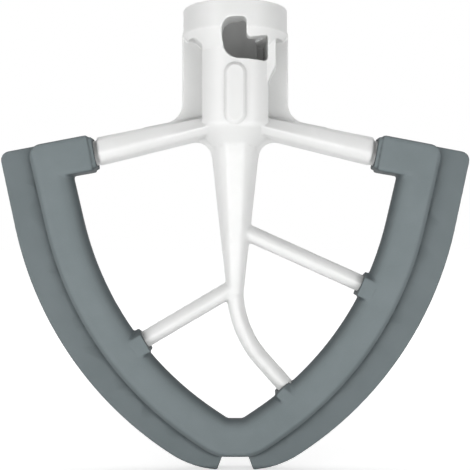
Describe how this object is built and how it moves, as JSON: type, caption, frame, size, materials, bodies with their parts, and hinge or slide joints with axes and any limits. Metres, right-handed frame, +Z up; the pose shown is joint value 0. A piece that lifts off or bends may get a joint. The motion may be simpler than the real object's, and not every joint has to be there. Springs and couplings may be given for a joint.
{
  "type": "stand mixer flat beater",
  "caption": "Flat beater for a tilt-head stand mixer: a white frame with a soft grey scraping edge, and a hub with a bore and a turn-to-lock pin slot.",
  "frame": {"origin": "middle of the bore's mouth, in the plane of the hub's rim", "axes": "+Z up along the bore, out of its mouth; +X across the beater, towards the side with the curved leg's foot; -Y towards the front, where the pin slot opens"},
  "size_m": [0.1452, 0.0322, 0.1423],
  "materials": {
    "frame_white": "satin",
    "edge_rubber": "matte"
  },
  "bodies": {
    "root": {"beater_frame": "frame_white", "flex_edge": "edge_rubber"}
  },
  "joints": []
}
